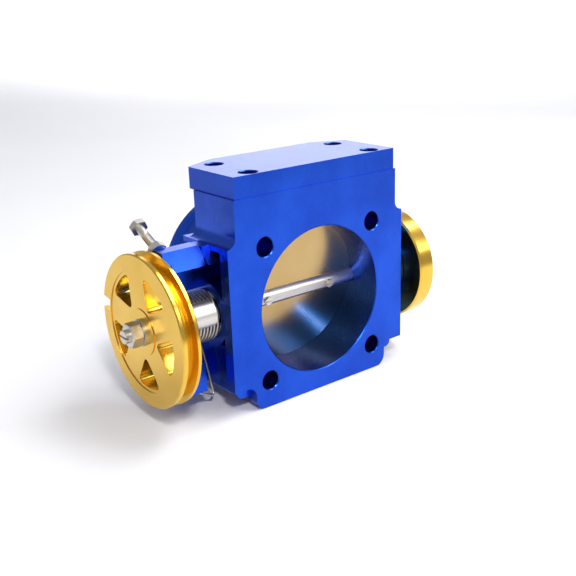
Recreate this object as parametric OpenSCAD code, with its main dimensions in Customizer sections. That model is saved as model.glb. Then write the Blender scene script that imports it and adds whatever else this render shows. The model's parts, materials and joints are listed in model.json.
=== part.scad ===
// Billet throttle body: housing, butterfly, cable pulley, return spring and sensor adapter.
// Bore axis along Y with the manifold face at y = 0, throttle shaft along X, top face up.

/* [Bore and manifold flange] */
// Bore diameter
bore_d = 70; // [66:1:72]
// Spacing of the four manifold bolts, both ways
bolt_spacing = 63.5; // [62:0.5:65]
// Manifold bolt hole diameter
bolt_hole_d = 9; // [8:0.5:10]
// Full width of the manifold flange
flange_w = 103.4; // [102:0.2:110]
// Thickness of the manifold flange
flange_t = 6; // [5:0.5:8]
// Height of the lowest edge below the bore axis
foot_drop = 44.5; // [43:0.5:48]

/* [Housing] */
// Width of the upper block
block_w = 94.6; // [94:0.2:96]
// Height of the upper block's top above the bore axis
block_top = 54.9; // [53:0.1:56]
// Depth of the middle of the housing
mid_depth = 42; // [40:1:44]
// Thickness of the top flange
top_t = 9.8; // [9:0.1:12]
// Outer diameter of the hose spigot
spigot_d = 76; // [75:0.5:78]
// Rear end of the hose spigot
spigot_end = 77; // [74:1:80]

/* [Shaft and plate] */
// Distance of the shaft axis behind the manifold face
shaft_y = 21.2; // [20.8:0.2:22]
// Shaft diameter
shaft_d = 8; // [8:1:8]
// Tilt of the closed plate from the bore's cross-section
plate_tilt = 8.6; // [6:0.2:10]
// Thickness of the throttle plate
plate_t = 2; // [1.6:0.1:2.2]

/* [Pulley] */
// Pulley diameter over its rims
pulley_d = 69; // [67:1:70]
// Pulley front face, along the shaft
pulley_face = -84.2; // [-84.6:0.1:-84]
// Pulley width
pulley_w = 8.8; // [8.6:0.1:9]
// Number of lightening holes
spokes = 5; // [4:1:6]

/* [Return spring] */
// Mean radius of the coil
coil_r = 11.4; // [11:0.1:11.6]
// Wire diameter
wire_d = 1.2; // [1:0.1:1.4]
// Number of whole turns
coil_turns = 13; // [10:1:14]

/* [Sensor adapter] */
// Adapter diameter
adapter_d = 56.6; // [54:0.2:60]
// Adapter thickness
adapter_t = 9.4; // [8:0.1:10]

/* [Hidden] */
$fn = 64;
tiny = 0.5;
clear = 0.05;

blue = [0.10, 0.22, 0.80];
gold = [0.88, 0.70, 0.28];
steel = [0.75, 0.75, 0.76];
brass = [0.80, 0.68, 0.42];
black = [0.08, 0.08, 0.09];

bore_r = bore_d / 2;
hole_x = bolt_spacing / 2;
// Height of the wide part of the manifold face, above and below the bore axis
wide_top = 34.2;
wide_bottom = -32.5;
foot_w = 80;
foot_round = 5;
ledge_fillet = 4.5;
// Ledge that carries the flange's shoulder backwards along the block
ledge_t = 2.4;
ledge_end = 35;
core_r = 42;
pillar_d = 17;
pillar_end = 36;
spot_d = 13.6;
edge = 0.4;
bead_r = 40.1;
lower_w = 96;
lower_bottom = -38;
lower_top = -14;
lower_front = 4;
lower_round = 3;

// Plan of the top flange: chamfered back corners
top_half_w = 46.5;
top_front_y = 0.5;
top_side_y = 35;
top_back_half_w = 30;
top_back_y = 43;
top_hole_x = 35.2;
top_hole_y = [5.5, 31.5];
top_hole_d = 8.5;
top_hole_depth = 25;
block_side_y = 30.8;
block_back_y = 41.5;

// Bearings (8 x 22 x 7), seals and circlips, given on the right side and mirrored to the left
bearing_in = 40.8;
bearing_w = 7;
bearing_od = 22;
bearing_out = bearing_in + bearing_w;
race_gap_r = [6.1, 9.2];
ball_pitch_r = 7.65;
ball_d = 3.8;
ball_groove_r = 1.95;
balls = 7;
seal_d = 16;
seal_in = 36.4;
circlip_t = 1.1;
circlip_groove_d = 23.4;
left_boss_end = -50.2;
left_boss_d = 31;
right_boss_end = 58.5;
right_boss_d = 32;
gasket_t = 0.5;

// Shaft ends
thread_d = 6;
shaft_tip = -93;
shaft_shoulder = -82.8;
shaft_right = 57;
tang_end = 63.5;
tang_d = 6;
tang_flat = 1.5;
key_flat = 3.3;
flat_depth = 3.6;
flat_half_l = 22;
slot_half_l = 35.4;
plate_screw_x = 18.8;
plate_screw_d = 2.5;
plate_head_d = 4;
plate_head_h = 1.4;

// Pulley section
face_step = 0.4;
rim_inner_r = 27.5;
hub_spot_r = 10.5;
pulley_back = pulley_face + pulley_w;
hub_r = 9;
hub_end = -70;
groove_bottom_r = 29.6;
rim_t = 2.2;
cut_in_c = 14.6;
cut_in_r = 2.1;
cut_out_r = 25.8;
cut_corner_r = 1.9;
cut_half = 15.5;
cut_first = 59;
notch_angle = 170;
notch_w = 6;
notch_bottom_r = 28.2;
washer_t = 1.6;
washer_d = 12;
nut_t = 5;
nut_af = 10;
web_face = pulley_face + face_step;

// Full-throttle stop post on the pulley
post_r = 19.6;
post_angle = 23;
post_d = 11.4;
post_end = -59;
post_stem_d = 6;

// Idle screw: a line beside the pulley, tangent to a circle round the shaft axis
screw_x = -71.6;
screw_rise = 25.8;
screw_tangent_r = 29.1;
screw_d = 4;
screw_tip_at = 5.2;
screw_head_at = 32.7;
screw_head_h = 2.8;
screw_head_af = 7;
lock_nut_at = 16;
lock_nut_h = 3.2;
screw_boss_d = 6.6;
stop_tab_l = 3;
stop_tab_r = 30.6;
stop_tab_out = 2;
stop_tab_x = 2.8;
stop_tab_gap = 0.15;

// Bracket and anchor on the left side
bracket_left = -75;
bracket_right = -56;
bracket_front = [10, 26.5];
bracket_edge = [14.7, 34.8];
bracket_top_back = 21.3;
bracket_end_r = 8.8;
bracket_end_z = 30.9;
bracket_end_out = 1.1;
pad_top = 34;
bracket_back = 31;
bracket_back_top = 30;
bracket_neck = 21.8;
tail_bottom = 13;
pad_end = -38;
pad_screw_y = 26.4;
pad_screw_z = [17.2, 25.8];
cap_d = 4;
cap_head_d = 7;
cap_head_h = 4;
anchor_left = -73;
anchor_right = -56.5;
anchor_front = 15.6;
anchor_back = 30;
anchor_top = -20.5;
anchor_bottom = -34.6;
stem_left = -66;
stem_front = 28.6;
stem_back = 38;
anchor_screw_y = 33.6;
anchor_screw_z = -27.6;

// Coil ends, and the leg that rests against the spring anchor
coil_start = -74.4;
coil_end = -51.2;
coil_steps = 16;
wire_sides = 6;
leg_end = [18.4, -39];
hook_bend = 118;
hook_l = 8;
hook_r = 1.6;

// Sensor adapter
adapter_x = right_boss_end + gasket_t;
pilot_d = 38;
pilot_depth = 3;
adapter_hole_d = 16;
adapter_screw_r = 13.6;
adapter_tap_d = 2.5;
adapter_screw_d = 3;
adapter_edge = 0.8;
sensor_hole_r = 23.5;
sensor_tap_d = 3.3;
csk_d = 6.2;

module rod_x(x0, x1, d, y = shaft_y, z = 0) {
    translate([x0, y, z]) rotate([0, 90, 0]) cylinder(d = d, h = x1 - x0);
}

module rod_y(y0, y1, d, x = 0, z = 0) {
    translate([x, y1, z]) rotate([90, 0, 0]) cylinder(d = d, h = y1 - y0);
}

module rod_z(z0, z1, d, x, y) {
    translate([x, y, z0]) cylinder(d = d, h = z1 - z0);
}

// Box between two opposite corners
module block(a, b) {
    translate(a) cube(b - a);
}

// Extrude an X-Z outline from y0 to y1
module slab_y(y0, y1) {
    translate([0, y1, 0]) rotate([90, 0, 0]) linear_extrude(y1 - y0) children();
}

// Extrude a Y-Z outline from x0 to x1
module slab_x(x0, x1) {
    translate([x0, 0, 0]) rotate([90, 0, 90]) linear_extrude(x1 - x0) children();
}

// Turn a profile given as (radius, x) round the shaft axis
module turn_x() {
    translate([0, shaft_y, 0]) rotate([0, 90, 0]) rotate_extrude() children();
}

// Turn a profile given as (radius, y) round the bore axis
module turn_y() {
    rotate([-90, 0, 0]) rotate_extrude() children();
}

// Rectangle with round lower corners, hanging down from a given height
module hanging_rect(half_w, top, bottom, r) {
    translate([-half_w, bottom + r]) square([2 * half_w, top - bottom - r]);
    translate([r - half_w, bottom]) square([2 * (half_w - r), r + tiny]);
    for (s = [-1, 1]) translate([s * (half_w - r), bottom + r]) circle(r);
}

// Square patch with a concave round, its corner at the origin, in the quadrant (sx, sz)
module fillet(r, sx, sz) {
    difference() {
        translate([sx > 0 ? -tiny : -r, sz > 0 ? -tiny : -r]) square(r + tiny);
        translate([sx * r, sz * r]) circle(r);
    }
}

module face_outline() {
    translate([-flange_w / 2, wide_bottom]) square([flange_w, wide_top - wide_bottom]);
    translate([-block_w / 2, 0]) square([block_w, block_top]);
    hanging_rect(foot_w / 2, 0, -foot_drop, foot_round);
    for (s = [-1, 1]) {
        translate([s * block_w / 2, wide_top]) fillet(ledge_fillet, s, 1);
        translate([s * foot_w / 2, wide_bottom]) fillet(ledge_fillet, s, -1);
    }
}

// Plan of the top flange, or of the block under it
module top_plan(half_w, front_y, side_y, back_y) {
    polygon([[-half_w, front_y], [half_w, front_y], [half_w, side_y], [top_back_half_w, back_y],
             [-top_back_half_w, back_y], [-half_w, side_y]]);
}

// Y-Z outline shared by the bracket and the pad that it is bolted to
module bracket_outline() {
    polygon([bracket_front, bracket_edge, [bracket_top_back, bracket_edge[1]],
             [bracket_back, bracket_back_top], [bracket_back, tail_bottom], [bracket_neck, tail_bottom],
             [bracket_neck, bracket_front[1]]]);
}

// X-Z outline ending at x = 0 above the neck with a round nose, and flat below it
module bracket_end(length) {
    translate([-length, 0]) square([length, bracket_front[1] - tiny]);
    translate([-length, 0]) square([length - bracket_end_out, 60]);
    translate([-bracket_end_r, bracket_end_z]) circle(bracket_end_r - clear);
}

// Place children on the idle screw's line, t = 0 at its tangent point, +Z towards its head
module on_idle_line(t) {
    foot_y = shaft_y - screw_tangent_r * sin(screw_rise);
    foot_z = screw_tangent_r * cos(screw_rise);
    translate([screw_x, foot_y, foot_z]) rotate([screw_rise - 90, 0, 0]) translate([0, 0, t]) children();
}

// Put children at the plate's tilt, on the shaft axis
module on_plate() {
    translate([0, shaft_y, 0]) rotate([plate_tilt, 0, 0]) children();
}

module hex(af, h) {
    cylinder(d = af / cos(30), h = h, $fn = 6);
}

module bore_side_cuts() {
    rod_x(bearing_in, right_boss_end + 1, bearing_od);
    rod_x(bearing_out, bearing_out + circlip_t + 2 * clear, circlip_groove_d);
    rod_x(seal_in, bearing_in + tiny, seal_d);
    rod_x(bore_r - 6, seal_in + tiny, shaft_d + 4 * clear);
}

module housing_shape() {
    slab_y(0, flange_t) face_outline();
    translate([0, 0, wide_top]) linear_extrude(block_top - wide_top)
        top_plan(block_w / 2, 0, block_side_y, block_back_y);
    translate([0, 0, block_top]) linear_extrude(top_t)
        top_plan(top_half_w, top_front_y, top_side_y, top_back_y);
    slab_y(flange_t - tiny, block_side_y) for (s = [-1, 1])
        translate([s * block_w / 2, wide_top]) fillet(ledge_fillet, s, 1);
    block([-flange_w / 2, 0, wide_top - ledge_t], [flange_w / 2, ledge_end, wide_top]);
    rod_y(1, mid_depth, 2 * core_r);
    slab_y(lower_front, mid_depth) hanging_rect(lower_w / 2, lower_top, lower_bottom, lower_round);
    for (x = [-hole_x, hole_x]) rod_y(1, pillar_end, pillar_d, x, hole_x);
    rod_x(left_boss_end, 0, left_boss_d);
    rod_x(0, right_boss_end, right_boss_d);
    intersection() {
        slab_x(bracket_right, pad_end) bracket_outline();
        slab_y(0, 50) translate([bracket_right, 0]) mirror([1, 0]) bracket_end(pad_end - bracket_right + 1);
        block([-60, 0, 0], [0, 60, pad_top]);
    }
    turn_y() polygon([[bore_r - 4, 20], [spigot_d / 2, 20], [spigot_d / 2, spigot_end - 6.5],
                      [bead_r, spigot_end - 3.8], [bead_r, spigot_end - 1.4],
                      [bead_r - 1.4, spigot_end], [bore_r - 4, spigot_end]]);
}

// Hole along Y in the manifold face, with a broken edge
module face_hole(d, end, x = 0, z = 0) {
    rod_y(-1, end, d, x, z);
    translate([x, edge, z]) rotate([90, 0, 0]) cylinder(d1 = d, d2 = d + 2 * edge + 0.2, h = edge + 0.1);
}

module body() {
    color(blue) difference() {
        housing_shape();
        face_hole(bore_d, spigot_end + 1);
        translate([0, spigot_end - 2, 0]) rotate([-90, 0, 0])
            cylinder(d1 = bore_d, d2 = bore_d + 4.2, h = 2.1);
        for (x = [-hole_x, hole_x]) {
            for (z = [-hole_x, hole_x]) face_hole(bolt_hole_d, mid_depth + 1, x, z);
            rod_y(pillar_end, mid_depth + 4, spot_d, x, hole_x);
        }
        for (x = [-top_hole_x, top_hole_x], y = top_hole_y) {
            rod_z(block_top + top_t - top_hole_depth, block_top + top_t + 1, top_hole_d, x, y);
            translate([x, y, block_top + top_t - edge])
                cylinder(d1 = top_hole_d, d2 = top_hole_d + 2 * edge + 0.2, h = edge + 0.1);
        }
        bore_side_cuts();
        mirror([1, 0, 0]) bore_side_cuts();
        for (z = pad_screw_z) rod_x(bracket_right - 1, bracket_right + 12, cap_d, pad_screw_y, z);
        rod_x(-lower_w / 2 - 1, -lower_w / 2 + 11, cap_d, anchor_screw_y, anchor_screw_z);
        for (a = [0:120:240]) translate([0, shaft_y, 0]) rotate([a, 0, 0])
            rod_x(right_boss_end - 10, right_boss_end + 1, adapter_tap_d, 0, adapter_screw_r);
    }
}

module stop_bracket() {
    color(blue) difference() {
        union() {
            intersection() {
                slab_x(bracket_left, bracket_right) bracket_outline();
                slab_y(0, 50) translate([bracket_right, 0]) bracket_end(bracket_right - bracket_left + 1);
            }
            on_idle_line(screw_tip_at + 4) cylinder(d = screw_boss_d, h = lock_nut_at - screw_tip_at - 4);
        }
        on_idle_line(lock_nut_at) cylinder(d = screw_boss_d + 3, h = 20);
        on_idle_line(screw_tip_at - clear) cylinder(d = screw_d + 2 * clear, h = 50);
        intersection() {
            on_idle_line(screw_tip_at - 20) translate([-20, -20, 0]) cube([40, 40, 20]);
            rod_x(bracket_left - 1, pulley_back + stop_tab_x + 0.4, 2 * stop_tab_r + 1);
        }
        for (z = pad_screw_z) {
            rod_x(bracket_left - 1, bracket_right + 1, cap_d + 0.4, pad_screw_y, z);
            rod_x(bracket_left - 1, bracket_left + cap_head_h + 0.5, cap_head_d + 0.4, pad_screw_y, z);
        }
    }
}

// Socket head cap screw along X, its head at x0 and its tip at x1
module cap_screw(x0, x1, y, z) {
    difference() {
        union() {
            rod_x(x0, x0 + cap_head_h, cap_head_d, y, z);
            rod_x(x0 + cap_head_h - tiny, x1, cap_d, y, z);
        }
        translate([x0 - 1, y, z]) rotate([0, 90, 0]) hex(3, cap_head_h / 2 + 1);
    }
}

module bracket_screws() {
    color(steel) for (z = pad_screw_z) cap_screw(bracket_left + 0.5, bracket_right + 10, pad_screw_y, z);
}

module spring_anchor() {
    color(blue) difference() {
        union() {
            block([anchor_left, anchor_front, anchor_bottom], [anchor_right, anchor_back, anchor_top]);
            block([stem_left, stem_front, anchor_bottom], [-lower_w / 2, stem_back, anchor_top]);
        }
        rod_x(stem_left - 1, -lower_w / 2 + 1, cap_d + 0.4, anchor_screw_y, anchor_screw_z);
        rod_x(stem_left - 1, stem_left + cap_head_h + 0.5, cap_head_d + 0.2, anchor_screw_y, anchor_screw_z);
    }
}

module anchor_screw() {
    color(steel) cap_screw(stem_left + 0.5, -lower_w / 2 + 10, anchor_screw_y, anchor_screw_z);
}

module idle_screw() {
    color(steel) {
        on_idle_line(screw_tip_at) cylinder(d = screw_d, h = screw_head_at - screw_tip_at + tiny);
        on_idle_line(screw_head_at) hex(screw_head_af, screw_head_h);
    }
}

module idle_lock_nut() {
    color(steel) difference() {
        on_idle_line(lock_nut_at) rotate(30) hex(screw_head_af, lock_nut_h);
        on_idle_line(0) cylinder(d = screw_d + 2 * clear, h = 40);
    }
}

module seal() {
    difference() {
        rod_x(seal_in + clear, bearing_in - clear, seal_d);
        rod_x(seal_in - 1, bearing_in + 1, shaft_d + 4 * clear);
    }
}

module bearing_ring(r_in, r_out) {
    turn_x() difference() {
        translate([r_in, bearing_in]) square([r_out - r_in, bearing_w]);
        translate([ball_pitch_r, bearing_in + bearing_w / 2]) circle(ball_groove_r);
    }
}

module bearing_balls() {
    for (i = [0:balls - 1]) translate([bearing_in + bearing_w / 2, shaft_y, 0])
        rotate([360 * i / balls, 0, 0]) translate([0, ball_pitch_r, 0]) sphere(d = ball_d);
}

module circlip() {
    difference() {
        rod_x(bearing_out + clear, bearing_out + clear + circlip_t, circlip_groove_d - 4 * clear);
        rod_x(bearing_out - 1, bearing_out + 3, bearing_od - 4);
        block([bearing_out - 1, shaft_y - 2, -20], [bearing_out + 3, shaft_y + 2, 0]);
    }
}

module throttle_shaft() {
    color(steel) difference() {
        union() {
            rod_x(shaft_tip, shaft_right, thread_d);
            rod_x(shaft_shoulder, shaft_right, shaft_d);
            difference() {
                rod_x(shaft_right - 1, tang_end, tang_d);
                for (s = [-1, 1]) block([shaft_right, shaft_y - 10, s > 0 ? tang_flat : -10],
                                        [tang_end + 1, shaft_y + 10, s > 0 ? 10 : -tang_flat]);
            }
        }
        for (s = [-1, 1]) block([shaft_shoulder - 0.01, shaft_y - 10, s > 0 ? key_flat : -10],
                                [hub_end, shaft_y + 10, s > 0 ? 10 : -key_flat]);
        on_plate() {
            block([-slot_half_l, -plate_t / 2 - clear, -10], [slot_half_l, plate_t / 2 + clear, 10]);
            block([-flat_half_l, -10, -10], [flat_half_l, -flat_depth, 10]);
            for (x = [-plate_screw_x, plate_screw_x]) rod_y(-5, 3.2, plate_screw_d + 2 * clear, x);
        }
        block([shaft_tip - 1, shaft_y - 5, -0.5], [shaft_tip + 1.2, shaft_y + 5, 0.5]);
    }
}

module throttle_plate() {
    color(brass) difference() {
        intersection() {
            rod_y(0, 50, bore_d - 0.16);
            on_plate() block([-40, -plate_t / 2, -40], [40, plate_t / 2, 40]);
        }
        on_plate() for (x = [-plate_screw_x, plate_screw_x]) rod_y(-5, 5, plate_screw_d + 2 * clear, x);
    }
}

module plate_screws() {
    color(steel) on_plate() for (x = [-plate_screw_x, plate_screw_x]) difference() {
        union() {
            rod_y(-flat_depth - plate_head_h, -flat_depth, plate_head_d, x);
            rod_y(-flat_depth - tiny, 3, plate_screw_d, x);
        }
        block([x - 2, -flat_depth - plate_head_h - 1, -0.4], [x + 2, -flat_depth - plate_head_h + 0.7, 0.4]);
    }
}

module shaft_spacer() {
    color(steel) difference() {
        rod_x(hub_end, -bearing_out, 12);
        rod_x(hub_end - 1, -bearing_out + 1, shaft_d + 2 * clear);
    }
}

function arc(c, r, a0, a1, n = 8) =
    [for (i = [0:n]) let (a = a0 + (a1 - a0) * i / n) [c[0] + r * cos(a), c[1] + r * sin(a)]];

// Outline of one lightening hole, its middle along +X
module cutout_outline() {
    out_c = (cut_out_r - cut_corner_r) * [cos(cut_half), sin(cut_half)];
    side = atan2(out_c[1], out_c[0] - cut_in_c) + 90;
    polygon(concat(arc([cut_in_c, 0], cut_in_r, side, 360 - side),
                   arc([out_c[0], -out_c[1]], cut_corner_r, 360 - side, 360 - cut_half),
                   arc([0, 0], cut_out_r, 1 - cut_half, cut_half - 1),
                   arc(out_c, cut_corner_r, cut_half, side)));
}

// Extrude a pulley outline drawn with +X pointing forwards (-Y) and +Y up
module pulley_slab(x0, x1) {
    translate([x0, shaft_y, 0]) mirror([0, 1, 0]) rotate([90, 0, 90]) linear_extrude(x1 - x0) children();
}

// Tab on the back of the rim, which closes against the tip of the idle screw
module stop_tab() {
    intersection() {
        on_idle_line(screw_tip_at - stop_tab_gap - stop_tab_l)
            translate([-20, -stop_tab_out, 0]) cube([40, 10, stop_tab_l]);
        rod_x(pulley_back - 1, pulley_back + stop_tab_x, 2 * stop_tab_r);
    }
}

module pulley() {
    rim_r = pulley_d / 2;
    color(gold) difference() {
        union() {
            turn_x() polygon([[0, pulley_face], [hub_spot_r, pulley_face], [hub_spot_r, web_face],
                              [rim_inner_r, web_face], [rim_inner_r, pulley_face],
                              [rim_r - 0.5, pulley_face], [rim_r, pulley_face + 0.5],
                              [rim_r, pulley_face + rim_t - 0.3],
                              [groove_bottom_r + 0.6, pulley_face + rim_t + 1],
                              [groove_bottom_r, pulley_face + rim_t + 1.6],
                              [groove_bottom_r, pulley_back - rim_t - 1.6],
                              [groove_bottom_r + 0.6, pulley_back - rim_t - 1],
                              [rim_r, pulley_back - rim_t + 0.3], [rim_r, pulley_back - 0.5],
                              [rim_r - 0.5, pulley_back], [hub_r, pulley_back],
                              [hub_r, hub_end], [0, hub_end]]);
            stop_tab();
        }
        for (i = [0:spokes - 1]) pulley_slab(pulley_face - 1, pulley_back + 1)
            rotate(cut_first + 360 * i / spokes) cutout_outline();
        pulley_slab(pulley_face - 1, pulley_back - rim_t - 1) rotate(notch_angle)
            translate([notch_bottom_r, -notch_w / 2]) square([20, notch_w]);
        rod_x(pulley_face - 2, shaft_shoulder + tiny, thread_d + 0.4);
        intersection() {
            rod_x(shaft_shoulder, hub_end + 1, shaft_d + 2 * clear);
            block([shaft_shoulder, 0, -key_flat - clear], [hub_end + 1, 50, key_flat + clear]);
        }
        translate([0, shaft_y, 0]) rotate([-post_angle, 0, 0])
            rod_x(pulley_back - 4, pulley_back + 1, post_stem_d, -post_r);
    }
}

module open_stop_post() {
    color(steel) translate([0, shaft_y, 0]) rotate([-post_angle, 0, 0]) {
        rod_x(pulley_back - 4, pulley_back + 1, post_stem_d, -post_r);
        translate([pulley_back, -post_r, 0]) rotate([0, 90, 0]) rotate_extrude()
            polygon([[0, 0], [post_d / 2 - 0.6, 0], [post_d / 2, 0.6],
                     [post_d / 2, post_end - pulley_back - 1.2], [post_d / 2 - 1.2, post_end - pulley_back],
                     [0, post_end - pulley_back]]);
    }
}

module pulley_washer() {
    color(steel) difference() {
        rod_x(pulley_face - washer_t, pulley_face, washer_d);
        rod_x(pulley_face - 5, pulley_face + 2, thread_d + 0.4);
    }
}

module pulley_nut() {
    color(steel) difference() {
        translate([pulley_face - washer_t - nut_t, shaft_y, 0]) rotate([0, 90, 0]) rotate([0, 0, 90])
            hex(nut_af, nut_t);
        rod_x(shaft_tip - 1, pulley_face, thread_d + 0.1);
    }
}

// Wire path of the spring: each entry is a point, a section axis and the other section axis
leg_reach = norm([leg_end[0] - shaft_y, leg_end[1]]);
leg_start_angle = atan2(leg_end[1], leg_end[0] - shaft_y) + acos(coil_r / leg_reach);
leg_out = [0, cos(leg_start_angle), sin(leg_start_angle)];
leg_down = [0, sin(leg_start_angle), -cos(leg_start_angle)];
leg_corner = [coil_end, leg_end[0], leg_end[1]] - hook_r * leg_down;
coil_path = [for (i = [0:coil_turns * coil_steps]) let (
    a = leg_start_angle + 360 * (coil_turns - i / coil_steps),
    x = coil_start + (coil_end - coil_start) * i / (coil_turns * coil_steps))
    [[x, shaft_y + coil_r * cos(a), coil_r * sin(a)], [0, cos(a), sin(a)], [1, 0, 0]]];
hook_path = [for (i = [0:6]) let (a = hook_bend * i / 6, across = cos(a) * [1, 0, 0] + sin(a) * leg_down)
    [leg_corner - hook_r * [1, 0, 0] + hook_r * across, leg_out, across]];
hook_along = cos(hook_bend) * leg_down - sin(hook_bend) * [1, 0, 0];
hook_tip = [hook_path[6][0] + hook_l * hook_along, leg_out, hook_path[6][2]];
wire_path = concat(coil_path, hook_path, [hook_tip]);

// One length of wire: the coil, its leg and the hook under the anchor
module return_spring() {
    n = len(wire_path);
    m = wire_sides;
    points = [for (p = wire_path) for (k = [0:m - 1])
        p[0] + wire_d / 2 * (cos(360 * k / m) * p[1] + sin(360 * k / m) * p[2])];
    sides = [for (i = [0:n - 2]) for (k = [0:m - 1])
        [i * m + k, i * m + (k + 1) % m, (i + 1) * m + (k + 1) % m, (i + 1) * m + k]];
    triangles = [for (q = sides) each [[q[0], q[1], q[2]], [q[0], q[2], q[3]]]];
    first = [for (k = [m - 1:-1:0]) k];
    last = [for (k = [0:m - 1]) (n - 1) * m + k];
    color(steel) polyhedron(points, concat(triangles, [first, last]));
}

module adapter_gasket() {
    color(black) difference() {
        rod_x(right_boss_end, adapter_x, right_boss_d - 1);
        rod_x(right_boss_end - 1, adapter_x + 1, bearing_od);
        for (a = [0:120:240]) translate([0, shaft_y, 0]) rotate([a, 0, 0])
            rod_x(right_boss_end - 1, adapter_x + 1, adapter_screw_d + 0.4, 0, adapter_screw_r);
    }
}

module sensor_adapter() {
    far = adapter_x + adapter_t;
    r = adapter_d / 2;
    color(gold) difference() {
        turn_x() polygon([[adapter_hole_d / 2, adapter_x], [r - adapter_edge, adapter_x],
                          [r, adapter_x + adapter_edge], [r, far - adapter_edge], [r - adapter_edge, far],
                          [pilot_d / 2, far], [pilot_d / 2, far - pilot_depth],
                          [adapter_hole_d / 2, far - pilot_depth]]);
        for (a = [0:120:240]) translate([0, shaft_y, 0]) rotate([a, 0, 0]) {
            rod_x(adapter_x - 1, far, adapter_screw_d + 0.4, 0, adapter_screw_r);
            translate([far - pilot_depth, 0, adapter_screw_r]) rotate([0, -90, 0])
                cylinder(d1 = csk_d, d2 = adapter_screw_d, h = 2);
        }
        for (s = [-1, 1]) rod_x(adapter_x - 1, far + 1, sensor_tap_d, shaft_y, s * sensor_hole_r);
    }
}

module adapter_screws() {
    seat = adapter_x + adapter_t - pilot_depth;
    color(steel) for (a = [0:120:240]) translate([0, shaft_y, 0]) rotate([a, 0, 0]) difference() {
        union() {
            rod_x(right_boss_end - 9, seat - 1, adapter_tap_d - 0.05, 0, adapter_screw_r);
            translate([seat - 0.1, 0, adapter_screw_r]) rotate([0, -90, 0])
                cylinder(d1 = csk_d - 0.4, d2 = adapter_tap_d, h = 2);
        }
        translate([seat - 1, 0, adapter_screw_r]) rotate([0, 90, 0]) hex(2, 3);
    }
}

body();
stop_bracket();
bracket_screws();
spring_anchor();
anchor_screw();
idle_screw();
idle_lock_nut();
color(black) mirror([1, 0, 0]) seal();  // seal_left
color(black) seal();  // seal_right
color(steel) mirror([1, 0, 0]) bearing_ring(race_gap_r[1], bearing_od / 2);  // bearing_left_outer
color(steel) mirror([1, 0, 0]) bearing_ring(shaft_d / 2, race_gap_r[0]);  // bearing_left_inner
color(steel) mirror([1, 0, 0]) bearing_balls();  // bearing_left_balls
color(steel) bearing_ring(race_gap_r[1], bearing_od / 2);  // bearing_right_outer
color(steel) bearing_ring(shaft_d / 2, race_gap_r[0]);  // bearing_right_inner
color(steel) bearing_balls();  // bearing_right_balls
color(steel) mirror([1, 0, 0]) circlip();  // circlip_left
color(steel) circlip();  // circlip_right
throttle_shaft();
throttle_plate();
plate_screws();
shaft_spacer();
pulley();
open_stop_post();
pulley_washer();
pulley_nut();
return_spring();
adapter_gasket();
sensor_adapter();
adapter_screws();
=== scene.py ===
import json
import math

import bmesh
import bpy
from mathutils import Matrix, Vector


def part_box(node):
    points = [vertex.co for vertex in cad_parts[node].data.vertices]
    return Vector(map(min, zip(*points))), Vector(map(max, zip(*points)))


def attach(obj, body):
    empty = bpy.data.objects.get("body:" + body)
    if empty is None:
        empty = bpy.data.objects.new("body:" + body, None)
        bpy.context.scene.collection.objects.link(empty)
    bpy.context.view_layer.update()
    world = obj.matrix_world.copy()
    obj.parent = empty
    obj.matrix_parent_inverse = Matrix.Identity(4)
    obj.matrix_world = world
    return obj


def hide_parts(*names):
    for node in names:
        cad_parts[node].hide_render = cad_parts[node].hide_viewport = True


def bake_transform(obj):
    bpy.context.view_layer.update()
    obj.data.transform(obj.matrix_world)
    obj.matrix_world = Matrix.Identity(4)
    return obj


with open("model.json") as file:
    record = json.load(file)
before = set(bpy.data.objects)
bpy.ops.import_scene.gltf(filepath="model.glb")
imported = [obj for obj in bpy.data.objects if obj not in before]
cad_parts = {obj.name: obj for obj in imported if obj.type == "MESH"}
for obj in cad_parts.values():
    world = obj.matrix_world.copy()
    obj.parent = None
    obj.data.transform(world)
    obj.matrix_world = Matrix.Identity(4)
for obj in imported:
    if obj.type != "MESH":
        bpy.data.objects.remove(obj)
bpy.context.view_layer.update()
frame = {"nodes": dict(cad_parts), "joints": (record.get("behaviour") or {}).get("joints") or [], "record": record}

NODES = frame["nodes"]
MM = 0.001

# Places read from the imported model
SHAFT = Vector(next(j["pos_m"] for j in frame["joints"] if j["name"] == "throttle_turn"))
SCREW_AXIS = Vector(next(j["axis"] for j in frame["joints"] if j["name"] == "idle_screw_travel")).normalized()
SPRING_LOW, SPRING_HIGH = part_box("return_spring")
BODY_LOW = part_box("body")[0]
X = Vector((1, 0, 0))


# ---------------------------------------------------------------- materials

RELIEF_DEPTH = 0.1 * MM
RUBBER_DARK = (0.012, 0.012, 0.013)
RUBBER_LIGHT = (0.03, 0.03, 0.032)


def new_material(name):
    material = bpy.data.materials.new(name)
    material.use_nodes = True
    tree = material.node_tree
    shader = tree.nodes["Principled BSDF"]
    return material, tree, shader


def node(tree, kind, **inputs):
    made = tree.nodes.new(kind)
    for key, value in inputs.items():
        made.inputs[key].default_value = value
    return made


def colour_ramp(tree, source, low, high, dark, light):
    ramp = tree.nodes.new("ShaderNodeValToRGB")
    ramp.color_ramp.elements[0].position = low
    ramp.color_ramp.elements[1].position = high
    ramp.color_ramp.elements[0].color = (*dark, 1)
    ramp.color_ramp.elements[1].color = (*light, 1)
    tree.links.new(source, ramp.inputs["Fac"])
    return ramp.outputs["Color"]


def roughness_band(tree, source, low, high):
    band = node(tree, "ShaderNodeMapRange", **{"To Min": low, "To Max": high})
    tree.links.new(source, band.inputs["Value"])
    return band.outputs["Result"]


def vector_math(tree, operation, source, constant=(0, 0, 0)):
    made = tree.nodes.new("ShaderNodeVectorMath")
    made.operation = operation
    made.inputs[1].default_value = constant
    tree.links.new(source, made.inputs[0])
    return made


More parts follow.
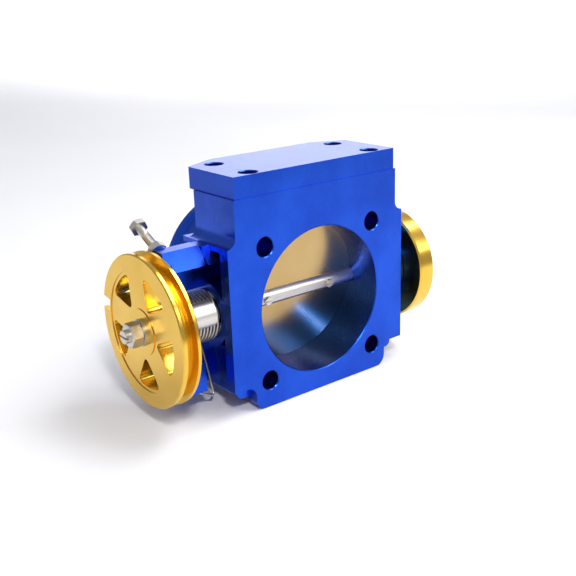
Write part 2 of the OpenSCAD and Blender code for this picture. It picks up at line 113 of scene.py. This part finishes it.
def shaft_radius(tree, coordinates):
    """Distance from the shaft axis, which turned faces are machined around."""
    offset = vector_math(tree, "SUBTRACT", coordinates, SHAFT)
    flat = vector_math(tree, "MULTIPLY", offset.outputs["Vector"], (0, 1, 1))
    return vector_math(tree, "LENGTH", flat.outputs["Vector"]).outputs["Value"]


def add_lathe_rings(tree, coordinates, grain, spacing):
    """Adds the fine rings left by a lathe to the height of the grain."""
    wave = tree.nodes.new("ShaderNodeMath")
    wave.operation = "MULTIPLY"
    wave.inputs[1].default_value = 2 * math.pi / spacing
    tree.links.new(shaft_radius(tree, coordinates), wave.inputs[0])
    sine = tree.nodes.new("ShaderNodeMath")
    sine.operation = "SINE"
    tree.links.new(wave.outputs[0], sine.inputs[0])
    mixed = tree.nodes.new("ShaderNodeMath")
    mixed.operation = "ADD"
    tree.links.new(sine.outputs[0], mixed.inputs[0])
    tree.links.new(grain, mixed.inputs[1])
    return mixed.outputs[0]


def add_relief(tree, shader, height, strength):
    relief = node(tree, "ShaderNodeBump", Strength=strength, Distance=RELIEF_DEPTH)
    tree.links.new(height, relief.inputs["Height"])
    tree.links.new(relief.outputs["Normal"], shader.inputs["Normal"])


def metal(name, dark, light, rough, grain=900, streak=(1, 1, 1), bump=0.02, coat=0.0, turned=0.0):
    """Metal with faint colour variation, machining streaks and fine roughness grain.
    turned is the spacing in metres of the rings left by a lathe, or 0."""
    material, tree, shader = new_material(name)
    shader.inputs["Metallic"].default_value = 1.0
    if coat:
        shader.inputs["Coat Weight"].default_value = coat
        shader.inputs["Coat Roughness"].default_value = 0.12
    coordinates = tree.nodes.new("ShaderNodeTexCoord").outputs["Object"]
    broad = node(tree, "ShaderNodeTexNoise", Scale=38.0, Detail=3.0)
    tree.links.new(coordinates, broad.inputs["Vector"])
    tree.links.new(colour_ramp(tree, broad.outputs["Fac"], 0.35, 0.65, dark, light),
                   shader.inputs["Base Color"])
    stretch = node(tree, "ShaderNodeMapping", Scale=streak)
    tree.links.new(coordinates, stretch.inputs["Vector"])
    fine = node(tree, "ShaderNodeTexNoise", Scale=float(grain), Detail=2.0)
    tree.links.new(stretch.outputs["Vector"], fine.inputs["Vector"])
    tree.links.new(roughness_band(tree, fine.outputs["Fac"], rough[0], rough[1]),
                   shader.inputs["Roughness"])
    height = fine.outputs["Fac"]
    if turned:
        height = add_lathe_rings(tree, coordinates, height, turned)
    add_relief(tree, shader, height, bump)
    return material


def rubber(name):
    material, tree, shader = new_material(name)
    coordinates = tree.nodes.new("ShaderNodeTexCoord").outputs["Object"]
    grain = node(tree, "ShaderNodeTexNoise", Scale=1500.0, Detail=4.0)
    tree.links.new(coordinates, grain.inputs["Vector"])
    tree.links.new(colour_ramp(tree, grain.outputs["Fac"], 0.4, 0.6, RUBBER_DARK, RUBBER_LIGHT),
                   shader.inputs["Base Color"])
    tree.links.new(roughness_band(tree, grain.outputs["Fac"], 0.55, 0.8), shader.inputs["Roughness"])
    add_relief(tree, shader, grain.outputs["Fac"], 0.2)
    return material


BLUE = metal("blue_anodised", (0.009, 0.060, 0.48), (0.014, 0.085, 0.60), (0.24, 0.34),
             grain=1400, streak=(1, 1, 0.12), bump=0.03, coat=0.12)
GOLD = metal("gold_anodised", (0.77, 0.47, 0.06), (0.84, 0.54, 0.09), (0.16, 0.24),
             grain=1500, bump=0.04, coat=0.1, turned=0.00045)
STEEL = metal("stainless_steel", (0.56, 0.53, 0.48), (0.68, 0.65, 0.60), (0.34, 0.46),
              grain=1800, streak=(0.15, 1, 1), bump=0.03)
BEARING = metal("bearing_steel", (0.52, 0.52, 0.53), (0.60, 0.60, 0.61), (0.10, 0.18), bump=0.01)
WIRE = metal("spring_steel", (0.46, 0.43, 0.38), (0.58, 0.55, 0.50), (0.28, 0.40), grain=2200, bump=0.03)
BRASS = metal("polished_brass", (0.45, 0.30, 0.12), (0.50, 0.35, 0.15), (0.16, 0.26),
              grain=1600, streak=(0.08, 1, 1), bump=0.015)
RUBBER = rubber("black_rubber")
SLOT_MATERIAL = {"blue_anodised": BLUE, "gold_anodised": GOLD, "stainless_steel": STEEL,
                 "bearing_steel": BEARING, "spring_steel": WIRE, "polished_brass": BRASS,
                 "black_rubber": RUBBER}

for part in frame["record"]["subparts"]:
    mesh = NODES[part["node"]].data
    mesh.materials.clear()
    mesh.materials.append(SLOT_MATERIAL[part["material_slot"]])


# ---------------------------------------------------------------- mesh tools

def finish_piece(name, mesh_data, material, body, replaced_node, smooth_angle):
    """Makes the mesh an object in place of a CAD node. A blended piece rides on no single body."""
    mesh_data.normal_update()
    mesh = bpy.data.meshes.new(name)
    mesh_data.to_mesh(mesh)
    mesh_data.free()
    mesh.materials.append(material)
    piece = bpy.data.objects.new(name, mesh)
    bpy.context.scene.collection.objects.link(piece)
    mesh.shade_smooth()
    mesh.set_sharp_from_angle(angle=math.radians(smooth_angle))
    if body:
        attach(piece, body)
    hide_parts(replaced_node)
    return piece


def turn_along(axis):
    """Turns local +Z along axis, with local +X as near world X as it can be."""
    forward = Vector(axis).normalized()
    side = X - forward * forward.x
    if side.length < 0.01:
        side = Vector((0, 1, 0))
    side.normalize()
    return Matrix((side, forward.cross(side), forward)).transposed().to_4x4()


def circle(turn, origin, radius, height, steps, start=0.0):
    """Points round local Z. The radius and the height may each be a function of the angle."""
    ring = []
    for k in range(steps):
        a = 2 * math.pi * k / steps
        r = radius(a) if callable(radius) else radius
        h = height(a) if callable(height) else height
        ring.append(turn @ Vector((r * math.cos(a + start), r * math.sin(a + start), h)) + origin)
    return ring


def sweep(mesh_data, rings, cap=True):
    """Skins rings of points, each ring a list of the same length."""
    made = [[mesh_data.verts.new(point) for point in ring] for ring in rings]
    count = len(made[0])
    for first, second in zip(made, made[1:]):
        for k in range(count):
            mesh_data.faces.new((first[k], first[(k + 1) % count], second[(k + 1) % count], second[k]))
    if cap:
        mesh_data.faces.new(list(reversed(made[0])))
        mesh_data.faces.new(made[-1])


def lathe(mesh_data, profile, turn, origin, steps=64):
    """Turns (radius, height) pairs round local Z."""
    sweep(mesh_data, [circle(turn, origin, radius, height, steps) for radius, height in profile])


def threaded_rod(mesh_data, turn, origin, length, radius, pitch, depth):
    """Rod with a real helical thread: rings of points whose radius follows the thread's height."""
    steps = 28
    rows_per_turn = 10
    lead_in = 0.6 * pitch
    crest, flank = 0.12, 0.76
    end_depth = 0.9 * depth

    rows = int(length / pitch * rows_per_turn)
    rings = []
    for i in range(rows + 1):
        h = length * i / rows
        fade = max(0.0, min(1.0, min(h, length - h) / lead_in))

        def thread_radius(a):
            phase = (h / pitch - a / (2 * math.pi)) % 1.0
            cut = depth * (1 - min(1.0, max(0.0, (abs(2 * phase - 1) - crest) / flank)))
            return radius - cut * fade - end_depth * (1 - fade)

        rings.append(circle(turn, origin, thread_radius, h, steps))
    sweep(mesh_data, rings)


def hex_prism(mesh_data, turn, origin, low, high, across, chamfer_low=True, hole=0.0, angle=0.0):
    """Hexagon whose corners are turned off at 30 degrees, as on a real nut or bolt head."""
    steps = 96
    end_r = 0.97 * across / 2
    slope = math.tan(math.radians(30))

    def hex_radius(a):
        return across / 2 / math.cos((a + math.pi / 6) % (math.pi / 3) - math.pi / 6)

    def ring(radius, height):
        return circle(turn, origin, radius, height, steps, angle)

    # The end face is a circle, and each hexagon point moves along the axis to the chamfer's cone
    rings = []
    if chamfer_low:
        rings.append(ring(end_r, low))
        rings.append(ring(hex_radius, lambda a: low + slope * (hex_radius(a) - end_r)))
    else:
        rings.append(ring(hex_radius, low))
    rings.append(ring(hex_radius, lambda a: high - slope * (hex_radius(a) - end_r)))
    rings.append(ring(end_r, high))
    if hole:
        inside = ring(hole, low)
        sweep(mesh_data, [inside] + rings + [ring(hole, high), inside], cap=False)
        bmesh.ops.remove_doubles(mesh_data, verts=mesh_data.verts, dist=1e-7)
    else:
        sweep(mesh_data, rings)


# ---------------------------------------------------------------- edges of the CAD parts

def soften(name, width, segments=2, angle=40):
    """Breaks a machined part's sharp edges. The mesh itself is left alone."""
    piece = NODES[name]
    bevel = piece.modifiers.new("edge_break", "BEVEL")
    bevel.width = width
    bevel.segments = segments
    bevel.limit_method = "ANGLE"
    bevel.angle_limit = math.radians(angle)
    bevel.harden_normals = True
    bevel.use_clamp_overlap = True


for cad_name, width in (("body", 0.35 * MM), ("stop_bracket", 0.3 * MM), ("spring_anchor", 0.5 * MM),
                        ("pulley", 0.15 * MM), ("sensor_adapter", 0.2 * MM),
                        ("shaft_spacer", 0.15 * MM), ("pulley_washer", 0.12 * MM)):
    soften(cad_name, width)


# ---------------------------------------------------------------- return spring

WIRE_R = 0.6 * MM
COIL_R = (SPRING_HIGH.y - SPRING_LOW.y) / 2 - WIRE_R
COIL_LOW_X = SPRING_LOW.x + WIRE_R
COIL_HIGH_X = SPRING_HIGH.x - WIRE_R
LEG_Y = SHAFT.y - 2.8 * MM
LEG_Z = SPRING_LOW.z + WIRE_R
HOOK_BEND = math.radians(118)
HOOK_R = 1.6 * MM
HOOK_L = 8 * MM
HOOK_STEPS = 12
TURNS = 13
TURN_STEPS = 48
TANG_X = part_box("pulley")[0].x + 8.2 * MM
TANG_BEND_R = 1.2 * MM
TANG_STEPS = 6

# The leg leaves the coil along a tangent through the corner of its hook
leg_angle = math.atan2(LEG_Z, LEG_Y - SHAFT.y) + math.acos(COIL_R / math.hypot(LEG_Y - SHAFT.y, LEG_Z))
leg_out = Vector((0, math.cos(leg_angle), math.sin(leg_angle)))
leg_down = Vector((0, math.sin(leg_angle), -math.cos(leg_angle)))


def wire_ring(centre, first, second, sides=14):
    return [centre + WIRE_R * (math.cos(2 * math.pi * k / sides) * first
                               + math.sin(2 * math.pi * k / sides) * second) for k in range(sides)]


def coil_rings():
    """Wire from the tang in the pulley, round a bend and along all turns to the top of the leg."""
    start = leg_angle + 2 * math.pi * TURNS
    radial = Vector((0, math.cos(start), math.sin(start)))
    around = Vector((0, -math.sin(start), math.cos(start)))
    corner = Vector((COIL_LOW_X, SHAFT.y, 0)) + radial * COIL_R
    rings = [wire_ring(Vector((TANG_X, corner.y, corner.z)) + around * TANG_BEND_R, radial, around)]
    for i in range(TANG_STEPS + 1):
        a = math.pi / 2 * i / TANG_STEPS
        centre = corner + TANG_BEND_R * (-X * (1 - math.sin(a)) + around * math.cos(a))
        rings.append(wire_ring(centre, radial, math.cos(a) * around + math.sin(a) * X))
    for i in range(1, TURNS * TURN_STEPS + 1):
        a = start - 2 * math.pi * i / TURN_STEPS
        x = COIL_LOW_X + (COIL_HIGH_X - COIL_LOW_X) * i / (TURNS * TURN_STEPS)
        out = Vector((0, math.cos(a), math.sin(a)))
        rings.append(wire_ring(Vector((x, SHAFT.y, 0)) + out * COIL_R, out, X))
    return rings


coil = bmesh.new()
sweep(coil, coil_rings())
coil_piece = finish_piece("return_spring_coil", coil, WIRE, None, "return_spring", 60)
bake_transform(coil_piece)


def leg_rings():
    """Wire from the coil straight down, then bent to the left under the anchor."""
    corner = Vector((COIL_HIGH_X, LEG_Y, LEG_Z)) - HOOK_R * leg_down
    top = Vector((COIL_HIGH_X, SHAFT.y, 0)) + leg_out * COIL_R
    rings = [wire_ring(top, leg_out, X)]
    for i in range(HOOK_STEPS + 1):
        a = HOOK_BEND * i / HOOK_STEPS
        across = math.cos(a) * X + math.sin(a) * leg_down
        centre = corner + HOOK_R * (across - X)
        rings.append(wire_ring(centre, leg_out, across))
    along = math.cos(HOOK_BEND) * leg_down - math.sin(HOOK_BEND) * X
    rings.append(wire_ring(centre + HOOK_L * along, leg_out, across))
    return rings


leg = bmesh.new()
sweep(leg, leg_rings())
finish_piece("return_spring_leg", leg, WIRE, "housing", "return_spring", 60)


# ---------------------------------------------------------------- idle screw and its lock nut

# Turns a hexagon so that a corner, and not a flat, lies on its local X
CORNER_FIRST = math.pi / 6
THREAD_R, THREAD_PITCH, THREAD_DEPTH = 2 * MM, 0.7 * MM, 0.38 * MM
THREAD_LENGTH = 22.4 * MM
NECK_R, SHANK_R = 1.75 * MM, 1.95 * MM
NECK_AT, SHANK_AT = 22.3 * MM, 22.8 * MM
SCREW_LENGTH, HEAD_H, HEAD_AF = 27.5 * MM, 2.8 * MM, 7 * MM
HEAD_OVERLAP = 0.1 * MM
LOCK_NUT_H, LOCK_NUT_HOLE_R = 3.2 * MM, 2.05 * MM
TIP_TO_NUT = 12.4 * MM

nut_low, nut_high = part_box("idle_lock_nut")
nut_centre = (nut_low + nut_high) / 2
screw_turn = turn_along(SCREW_AXIS)
tip = nut_centre - SCREW_AXIS * TIP_TO_NUT
screw = bmesh.new()
threaded_rod(screw, screw_turn, tip, THREAD_LENGTH, THREAD_R, THREAD_PITCH, THREAD_DEPTH)
lathe(screw, [(NECK_R, NECK_AT), (SHANK_R, SHANK_AT), (SHANK_R, SCREW_LENGTH + HEAD_OVERLAP)],
      screw_turn, tip)
hex_prism(screw, screw_turn, tip, SCREW_LENGTH, SCREW_LENGTH + HEAD_H, HEAD_AF, chamfer_low=False,
          angle=CORNER_FIRST)
finish_piece("idle_screw_threaded", screw, STEEL, "idle_adjuster", "idle_screw", 30)

# A flat of the lock nut faces the pulley, so that no corner reaches its rim
lock_nut = bmesh.new()
hex_prism(lock_nut, screw_turn, nut_centre, -LOCK_NUT_H / 2, LOCK_NUT_H / 2, HEAD_AF, hole=LOCK_NUT_HOLE_R)
finish_piece("idle_lock_nut_chamfered", lock_nut, STEEL, "housing", "idle_lock_nut", 30)


# ---------------------------------------------------------------- pulley nut

PULLEY_NUT_AF, PULLEY_NUT_HOLE_R = 10 * MM, 3.05 * MM

pulley_nut_low, pulley_nut_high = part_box("pulley_nut")
nut_base = Vector((pulley_nut_high.x, SHAFT.y, SHAFT.z))
pulley_nut = bmesh.new()
hex_prism(pulley_nut, turn_along(-X), nut_base, 0, pulley_nut_high.x - pulley_nut_low.x, PULLEY_NUT_AF,
          hole=PULLEY_NUT_HOLE_R, angle=CORNER_FIRST)
finish_piece("pulley_nut_chamfered", pulley_nut, STEEL, "throttle", "pulley_nut", 30)


# ---------------------------------------------------------------- floor, light and camera

AZIMUTH, ELEVATION, ROLL = math.radians(-37.7), math.radians(18.84), math.radians(-2.0)

# The part leans back: it stands on the rear edge of its foot and on the bead of the spigot.
FOOT_Y = 6 * MM
BEAD_Y = 74.4 * MM
BEAD_R = 40.1 * MM
lean = math.atan2(-BEAD_R - BODY_LOW.z, BEAD_Y - FOOT_Y)
floor_point = Vector((0, FOOT_Y, BODY_LOW.z))

# The floor curves up into a wall behind the part, and both are turned to face the camera.
FLOOR_HALF = 3.0
WALL_Y = 1.5
WALL_H = 2.2
SWEEP_R = 0.5
profile = [(-FLOOR_HALF, 0)]
for degrees in range(0, 91, 6):
    a = math.radians(degrees)
    profile.append((WALL_Y - SWEEP_R + SWEEP_R * math.sin(a), SWEEP_R - SWEEP_R * math.cos(a)))
profile.append((WALL_Y, WALL_H))
floor_mesh = bmesh.new()
left_edge = [floor_mesh.verts.new((-FLOOR_HALF, y, z)) for y, z in profile]
right_edge = [floor_mesh.verts.new((FLOOR_HALF, y, z)) for y, z in profile]
for i in range(len(profile) - 1):
    floor_mesh.faces.new((left_edge[i], right_edge[i], right_edge[i + 1], left_edge[i + 1]))
floor_data = bpy.data.meshes.new("floor")
floor_mesh.to_mesh(floor_data)
floor_mesh.free()
floor_data.shade_smooth()
floor = bpy.data.objects.new("floor", floor_data)
bpy.context.scene.collection.objects.link(floor)
floor.matrix_world = (Matrix.Translation(floor_point) @ Matrix.Rotation(lean, 4, "X")
                      @ Matrix.Rotation(AZIMUTH, 4, "Z"))
paper, paper_tree, paper_shader = new_material("white_paper")
paper_noise = node(paper_tree, "ShaderNodeTexNoise", Scale=14.0, Detail=3.0)
paper_tree.links.new(colour_ramp(paper_tree, paper_noise.outputs["Fac"], 0.3, 0.7,
                                 (0.80, 0.80, 0.83), (0.86, 0.86, 0.88)), paper_shader.inputs["Base Color"])
paper_shader.inputs["Roughness"].default_value = 0.7
floor_data.materials.append(paper)

world = bpy.data.worlds.new("studio")
bpy.context.scene.world = world
world.use_nodes = True
world.node_tree.nodes["Background"].inputs["Color"].default_value = (0.96, 0.97, 1.0, 1)
world.node_tree.nodes["Background"].inputs["Strength"].default_value = 0.45


def area_light(name, place, target, size, power, spread=180):
    data = bpy.data.lights.new(name, "AREA")
    data.shape = "RECTANGLE"
    data.size, data.size_y = size
    data.energy = power
    data.spread = math.radians(spread)
    light = bpy.data.objects.new(name, data)
    bpy.context.scene.collection.objects.link(light)
    light.location = place
    light.rotation_euler = (Vector(target) - Vector(place)).to_track_quat("-Z", "Y").to_euler()


area_light("key", (0.46, -0.54, 0.38), (0, 0, 0.01), (0.34, 0.30), 1.5)
area_light("top", (0.45, -0.20, 0.85), (0.10, 0, 0), (0.7, 0.5), 8)
area_light("lamp", (-0.26, -0.46, 0.50), (0.02, 0.03, 0), (0.09, 0.09), 2.2)
area_light("backdrop", (0.52, 0.68, 1.35), (0.92, 1.18, 0.45), (0.9, 0.3), 7, spread=80)

CAMERA_PLACE = Vector((-249.3, -296.6, 138.1)) * MM
back = Vector((math.sin(AZIMUTH) * math.cos(ELEVATION), -math.cos(AZIMUTH) * math.cos(ELEVATION),
               math.sin(ELEVATION)))
right = Vector((math.cos(AZIMUTH), math.sin(AZIMUTH), 0))
up = back.cross(right)
rolled_right = right * math.cos(ROLL) + up * math.sin(ROLL)
rolled_up = up * math.cos(ROLL) - right * math.sin(ROLL)
camera_data = bpy.data.cameras.new("camera")
camera_data.lens = 54.9
camera_data.sensor_width = 36
camera = bpy.data.objects.new("camera", camera_data)
bpy.context.scene.collection.objects.link(camera)
camera_turn = Matrix((rolled_right, rolled_up, back)).transposed().to_4x4()
camera.matrix_world = Matrix.Translation(CAMERA_PLACE) @ camera_turn
bpy.context.scene.camera = camera
bpy.context.scene.view_settings.view_transform = "Standard"
